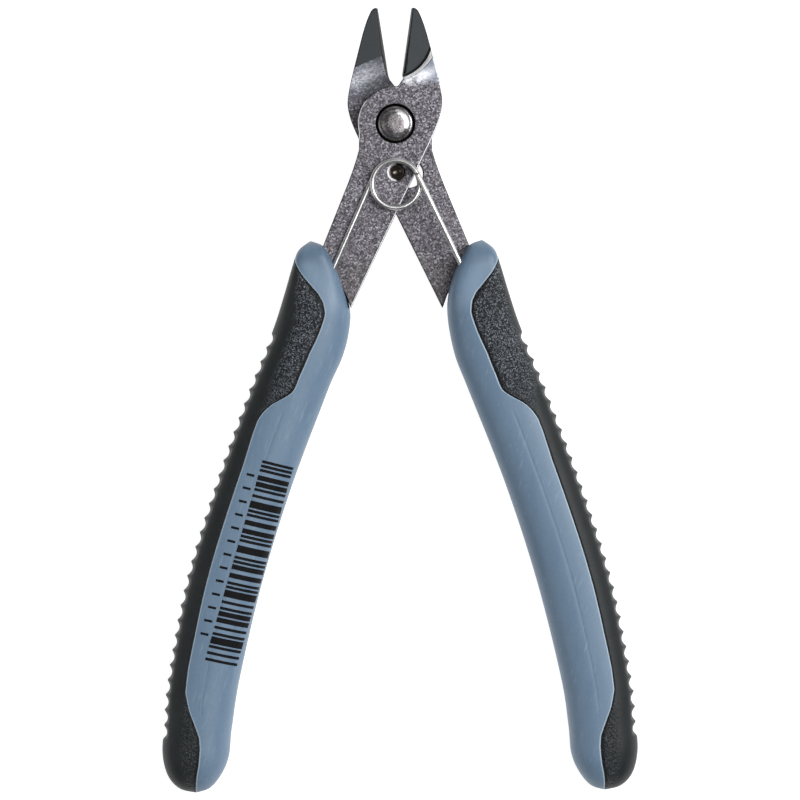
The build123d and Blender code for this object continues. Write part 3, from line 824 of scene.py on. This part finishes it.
def grip_cover(grip, name, material):
    """Elastomer cover: outer skin with ridges, inner skin, and rims that dip to the parting line."""
    rows = np.where(grip.parting > COVER_FROM)[0]
    rows = slice(rows[0], rows[-1] + 1)
    limit = grip.parting[rows][:, None]
    even = np.linspace(-1, 1, COVER_SEGMENTS + 1)
    share = np.sign(even) * (1 - (1 - np.abs(even)) ** COVER_CROWDING)
    angle = limit * share[None, :]
    angle[:, -2] = grip.angle_beside(limit[:, 0], GROOVE_WIDTH, rows)
    angle[:, 1] = -angle[:, -2]
    edge = np.clip(1 - np.abs(angle) / EDGE_TURN, 0, 1)
    valley = grip.ridges(rows)[:, None] * smooth_step(edge, *RIDGE_SPREAD)
    valley[:, 0] = valley[:, -1] = GROOVE
    outer = grip.points(angle, valley, rows)
    inner = grip.points(angle, np.full_like(angle, COVER_DEPTH - COVER_CLEARANCE), rows)
    count, columns = angle.shape
    total = count * columns
    faces = grid_faces(count, columns) + grid_faces(count, columns, total)
    for column in (0, columns - 1):
        for r in range(count - 1):
            a, b = r * columns + column, (r + 1) * columns + column
            faces.append((a, b, b + total, a + total))
    for row in (0, count - 1):
        for c in range(columns - 1):
            a = row * columns + c
            faces.append((a, a + 1, a + 1 + total, a + total))
    points = np.concatenate([outer.reshape(-1, 3), inner.reshape(-1, 3)])
    points[:, 0] *= grip.side
    rim = np.zeros_like(angle)
    rim[:, :2] = rim[:, -2:] = 1.0
    values = {
        "edge": np.concatenate([edge.ravel(), edge.ravel()]),
        "rim": np.concatenate([rim.ravel(), rim.ravel()]),
    }
    made = mesh_piece(name, points, faces, material, values)
    tidy_mesh(made)
    return made


def grip_core(grip, name, material):
    """Hard core: visible skin with its lip and mould lines, and a set-back bed under the cover."""
    limit = grip.parting[:, None]
    edges = [grip.parting] + [grip.angle_beside(grip.parting, -d) for d in LIP_STEPS]
    edges = np.maximum.accumulate(np.array(edges).T, axis=1)
    seams = np.maximum(grip.angle_at(SEAM_SHARE), edges[:, -1] + SEAM_GAP)
    near_seam = [grip.angle_beside(seams, d) for d in (SEAM_HALF, 0.0, -SEAM_HALF)]
    near_seam = np.maximum.accumulate(np.array(near_seam).T, axis=1)
    free = np.linspace(0, 1, FREE_COLUMNS + 2)[1:-1]
    half_columns = []
    for first, mid in zip(edges, near_seam):
        before = first[-1] + (mid[0] - first[-1]) * free
        after = mid[-1] + (np.pi - mid[-1]) * np.linspace(0, 1, INNER_COLUMNS + 1)[1:]
        half_columns.append(np.concatenate([first, before, mid, after]))
    half_values = (grip.angle_at(SEAM_SHARE) >= seams - 1e-6).astype(float)
    front = np.array(half_columns)
    seam_column = edges.shape[1] + len(free) + 1
    back = 2 * np.pi - front[:, -2::-1]
    skin = np.concatenate([front, back], axis=1)
    window = smooth_step(-grip.height_mm, -SEAM_TOP, -SEAM_TOP + SEAM_FADE)
    window = window * (1 - smooth_step(-grip.height_mm, -SEAM_END, -SEAM_END + SEAM_FADE))
    window = window * half_values
    columns = skin.shape[1]
    depth = np.zeros_like(skin)
    seam_value, lip_value = np.zeros_like(skin), np.zeros_like(skin)
    covered = smooth_step(grip.parting, *LIP_FADE)
    for column, lip in enumerate(LIP_VALUES):
        lip_value[:, column] = lip_value[:, columns - 1 - column] = lip * covered
    depth[:, 0] = depth[:, -1] = LIP_DEEP * covered
    for column in (seam_column, columns - 1 - seam_column):
        seam_value[:, column] = window
        depth[:, column] = SEAM_DEEP * window
    bed = limit * np.linspace(1, -1, BED_COLUMNS)[None, :]
    bed_depth = np.full_like(bed, COVER_DEPTH) * smooth_step(grip.parting, *BED_FADE)[:, None]
    outer = grip.points(skin, depth)
    under = grip.points(bed, bed_depth)
    ring = np.concatenate([outer, under[:, ::-1]], axis=1)
    width = ring.shape[1]
    faces = grid_faces(ROWS, width, closed=True)
    faces.append(tuple(range(width))[::-1])
    faces.append(tuple(range((ROWS - 1) * width, ROWS * width)))
    points = ring.reshape(-1, 3)
    points[:, 0] *= grip.side
    none = np.zeros_like(bed)
    values = {
        "lip": np.concatenate([lip_value, none], axis=1).ravel(),
        "seam": np.concatenate([seam_value, none], axis=1).ravel(),
    }
    made = mesh_piece(name, points, faces, material, values)
    tidy_mesh(made)
    return made


# plain bars printed on the left grip: a made-up rhythm of thick and thin, with ticks beside it
PRINT_OUTER = ((20.74, -51.85), (29.92, -82.78))  # the bars' outer ends, first and last
PRINT_INNER = ((16.0, -53.08), (25.03, -83.92))
PRINT_MODULES = 95
INK_SPREAD = 0.14          # modules
BAR_REACH = (-0.02, 0.97)  # along a bar, from its outer end to its inner end
TICK_REACH = (-0.38, -0.13)
TICK_FIRST, TICK_LAST = 0.076, 0.865
TICK_COUNT = 13
TICK_WIDTH = 0.0115
PRINT_COLUMNS = 34
PRINT_PROUD, PRINT_SUNK = 0.025, -0.03


def print_marks():
    """Stretches of the print: where each starts and ends along it, and how far it reaches across."""
    marks = []
    at = 0
    index = 0
    while at < PRINT_MODULES:
        near_end = index < 2 or at > PRINT_MODULES - 5
        bar = 1 if near_end else 1 + (index * index + 2) % 7 % 3
        gap = 1 if near_end else 1 + (index * 3) % 4 // 2
        first, last = at - INK_SPREAD, min(at + bar, PRINT_MODULES) + INK_SPREAD
        marks.append((first / PRINT_MODULES, last / PRINT_MODULES, BAR_REACH))
        at += bar + gap
        index += 1
    for place in np.linspace(TICK_FIRST, TICK_LAST, TICK_COUNT):
        marks.append((place, place + TICK_WIDTH, TICK_REACH))
    return marks


def grip_print(grip, name, material):
    """Thin inked patches that lie on the front of the core."""
    outer, inner = np.array(PRINT_OUTER), np.array(PRINT_INNER)
    columns = PRINT_COLUMNS
    points, faces = [], []
    for start, end, reach in print_marks():
        offset = len(points)
        for proud in (PRINT_PROUD, PRINT_SUNK):
            for place in (start, end):
                ends = [line[0] + (line[1] - line[0]) * place for line in (outer, inner)]
                for step in np.linspace(0, 1, columns):
                    share = reach[0] + (reach[1] - reach[0]) * (1 - (1 - step) ** 2)
                    x, y = ends[0] + (ends[1] - ends[0]) * share
                    points.append(grip.on_front(x, y, proud))
        top, bottom = offset, offset + 2 * columns
        faces += grid_faces(2, columns, top) + grid_faces(2, columns, bottom)
        for c in range(columns - 1):
            for row in (0, 1):
                a = row * columns + c
                faces.append((top + a, top + a + 1, bottom + a + 1, bottom + a))
        for c in (0, columns - 1):
            faces.append((top + c, top + columns + c, bottom + columns + c, bottom + c))
    points = np.array(points)
    points[:, 0] *= grip.side
    return mesh_piece(name, points, faces, material, smooth=False)


# ---------------------------------------------------------------- turned pieces

# outlines as (radius, height) from the top of each piece down its side
RIVET_HEAD = (
    (0.5, 3.59), (1.0, 3.583), (1.4, 3.56), (1.65, 3.51), (1.85, 3.44), (2.05, 3.335), (2.2, 3.21),
    (2.28, 3.08), (2.32, 2.98), (2.38, 2.93), (2.5, 2.91), (2.64, 2.84), (2.72, 2.7), (2.76, 2.5),
    (2.76, 1.92),
)
PIN_CENTRE = (0.17, -7.5)
PIN_END = (
    (0.2, 2.315), (0.45, 2.38), (0.7, 2.505), (0.9, 2.66), (1.0, 2.76), (1.06, 2.80), (1.10, 2.78),
    (1.122, 2.7), (1.122, -2.5), (1.0, -2.6),
)
TURN_STEPS = 96


def turned(name, outline, centre, material):
    """Closed solid of revolution about a line along Z, from its top to its foot."""
    bearings = np.linspace(0, 2 * np.pi, TURN_STEPS, endpoint=False)
    points = [(centre[0] + r * math.cos(b), centre[1] + r * math.sin(b), z)
              for r, z in outline for b in bearings]
    faces = grid_faces(len(outline), TURN_STEPS, closed=True)
    last = (len(outline) - 1) * TURN_STEPS
    faces.append(tuple(range(TURN_STEPS)))
    faces.append(tuple(range(last, last + TURN_STEPS)))
    return mesh_piece(name, points, faces, material)


# ---------------------------------------------------------------- opening spring

WIRE = 0.4                 # radius
RING = 3.65
RING_Y = -9.44
LOWER_TURN = PLATE_TOP + 0.1 + WIRE
TURN_RISE = 0.85
LEG_LEAN = {-1: math.radians(24.0), 1: math.radians(25.5)}
LEG_LENGTH = 18.0
LEG_DROP = 1.3             # the upper leg comes down towards its collar
LEG_MOUTH = 13.2           # from the ring to the collar's mouth
WIRE_SIDES = 20
RING_STEPS, LEG_STEPS = 170, 60


def tube(name, path, material):
    """Closed tube of wire along a path."""
    path = np.asarray(path, float)
    runs = np.gradient(path, axis=0)
    runs /= np.linalg.norm(runs, axis=1)[:, None]
    up = np.array([0.0, 0.0, 1.0])
    turns = np.linspace(0, 2 * np.pi, WIRE_SIDES, endpoint=False)
    points = []
    for point, run in zip(path, runs):
        sideways = np.cross(run, up)
        sideways /= np.linalg.norm(sideways)
        upward = np.cross(sideways, run)
        for turn in turns:
            points.append(point + WIRE * (math.cos(turn) * sideways + math.sin(turn) * upward))
    faces = grid_faces(len(path), WIRE_SIDES, closed=True)
    faces.append(tuple(range(WIRE_SIDES))[::-1])
    faces.append(tuple(range((len(path) - 1) * WIRE_SIDES, len(path) * WIRE_SIDES)))
    return mesh_piece(name, points, faces, material)


def spring_ring():
    """Path of the ring, clockwise from the left leg over the top and round to the right leg."""
    start = math.pi - LEG_LEAN[-1]
    sweep = 3 * math.pi - LEG_LEAN[-1] - LEG_LEAN[1]
    steps = np.linspace(0, 1, RING_STEPS)
    bearing = start - sweep * steps
    height = LOWER_TURN + TURN_RISE * sweep / (2 * math.pi) * steps
    return np.column_stack([RING * np.cos(bearing), RING_Y + RING * np.sin(bearing), height])


def spring_leg(ring, side):
    """Path of one leg from the ring's end into the collar, and the point at the collar's mouth."""
    lean = LEG_LEAN[side]
    start = ring[-1] if side > 0 else ring[0]
    run = np.array([side * math.sin(lean), -math.cos(lean), 0.0])
    steps = np.linspace(0, 1, LEG_STEPS)
    drop = LEG_DROP * smooth_step(steps, 0.05, 1.0) if side > 0 else 0 * steps
    path = start + run * (LEG_LENGTH * steps)[:, None]
    path[:, 2] -= drop
    return path, start + run * LEG_MOUTH


def to_frame(point):
    return PIVOT + Vector([float(c) for c in point]) * MM


# ---------------------------------------------------------------- scene

WHOLE_ANGLE, SHARP_ANGLE = math.radians(0.6), math.radians(35)


def lever_blank(node, body, material):
    """A lever in its CAD node's shape, its flat faces made whole and its sharp edges broken."""
    solid = frame["nodes"][node]
    made = bpy.data.objects.new(node + "_blank", solid.data.copy())
    bpy.context.scene.collection.objects.link(made)
    made.matrix_world = solid.matrix_world
    made.data.materials.clear()
    made.data.materials.append(material)
    weld = made.modifiers.new("weld", "WELD")
    weld.merge_threshold = JOIN_DISTANCE * MM
    whole = made.modifiers.new("whole", "DECIMATE")
    whole.decimate_type = "DISSOLVE"
    whole.angle_limit = WHOLE_ANGLE
    bevel = made.modifiers.new("edges", "BEVEL")
    bevel.width = EDGE_BREAK * MM
    bevel.segments = 2
    bevel.limit_method = "ANGLE"
    bevel.angle_limit = SHARP_ANGLE
    bevel.use_clamp_overlap = False
    bevel.harden_normals = True
    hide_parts(node)
    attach(made, body)


def area_light(name, place, aim, size, power, tint=(1, 1, 1)):
    data = bpy.data.lights.new(name, "AREA")
    data.shape = "RECTANGLE"
    data.size, data.size_y = size
    data.energy = power
    data.color = tint
    made = bpy.data.objects.new(name, data)
    bpy.context.scene.collection.objects.link(made)
    made.location = place
    made.rotation_euler = (Vector(aim) - Vector(place)).to_track_quat("-Z", "Y").to_euler()


# camera: straight down, with the tool turned a little in the frame
VIEW_WIDTH = 124.0
VIEW_CENTRE = (0.39, -42.7)
VIEW_ROLL = math.radians(-0.43)
CAMERA_HEIGHT = 700.0
camera = bpy.data.cameras.new("camera")
camera.sensor_width = 36.0
camera.lens = camera.sensor_width * CAMERA_HEIGHT / VIEW_WIDTH
camera.clip_start = 0.01
view = bpy.data.objects.new("camera", camera)
view.location = to_frame((VIEW_CENTRE[0], VIEW_CENTRE[1], CAMERA_HEIGHT))
view.rotation_euler = (0, 0, VIEW_ROLL)
bpy.context.scene.collection.objects.link(view)
bpy.context.scene.camera = view

# soft studio light, strongest from the right, over pale paper
area_light("key", (0.36, 0.12, 0.46), (0.0, 0.0, 0.0), (0.20, 0.30), 2.5)
area_light("top", (0.17, 0.06, 0.60), (0.0, 0.0, 0.0), (0.30, 0.30), 1.0)
area_light("far", (0.0, 0.50, 0.25), (0.0, 0.0, 0.0), (0.30, 0.20), 0.18)
area_light("left", (-0.42, -0.06, 0.30), (0.0, 0.0, 0.0), (0.25, 0.4), 0.35)
world = bpy.data.worlds.new("studio")
world.use_nodes = True
backdrop = world.node_tree.nodes["Background"].inputs
backdrop["Color"].default_value = grey(1)
backdrop["Strength"].default_value = 0.10
bpy.context.scene.world = world
bpy.context.scene.view_settings.view_transform = "Standard"

FLOOR_TILE, FLOOR_TILES = 90, 16
floor_lines = [FLOOR_TILE * (k - FLOOR_TILES // 2) for k in range(FLOOR_TILES + 1)]
floor = mesh_piece(
    "floor",
    [(x - PIVOT.x / MM, y - PIVOT.y / MM, -PIVOT.z / MM) for y in floor_lines for x in floor_lines],
    grid_faces(len(floor_lines), len(floor_lines)), studio_floor(),
)

lever_blank("front_lever", "front_half", lever_steel("front_lever_steel", False))
lever_blank("rear_lever", "rear_half", lever_steel("rear_lever_steel", True))
head = list(RIVET_HEAD)
rivet = turned("rivet_turned", head + [(r, -z) for r, z in head[::-1]], (0, 0), rivet_steel())
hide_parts("pivot_rivet")
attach(rivet, "pivot")
pin = turned("stop_pin_turned", PIN_END, PIN_CENTRE, pin_steel())
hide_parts("stop_pin")
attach(pin, "front_half")

plastic, elastomer = grip_plastic(), grip_elastomer()
for hand, side, body in (("left", -1, "front_half"), ("right", 1, "rear_half")):
    grip = Grip(side)
    core = grip_core(grip, hand + "_core_skin", plastic)
    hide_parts(hand + "_grip_core")
    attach(core, body)
    cover = grip_cover(grip, hand + "_cover_skin", elastomer)
    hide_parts(hand + "_grip_cover")
    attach(cover, body)

bars = grip_print(Grip(-1), "left_grip_print", print_ink())
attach(bars, "front_half")

wire = spring_wire()
ring_path = spring_ring()
ring = tube("spring_ring", ring_path, wire)
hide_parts("opening_spring")
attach(ring, "pivot")
for hand, side, body in (("left", -1, "front_half"), ("right", 1, "rear_half")):
    leg_path, mouth = spring_leg(ring_path, side)
    leg = tube("spring_leg_" + hand, leg_path, wire)
    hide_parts("opening_spring")
    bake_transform(leg)
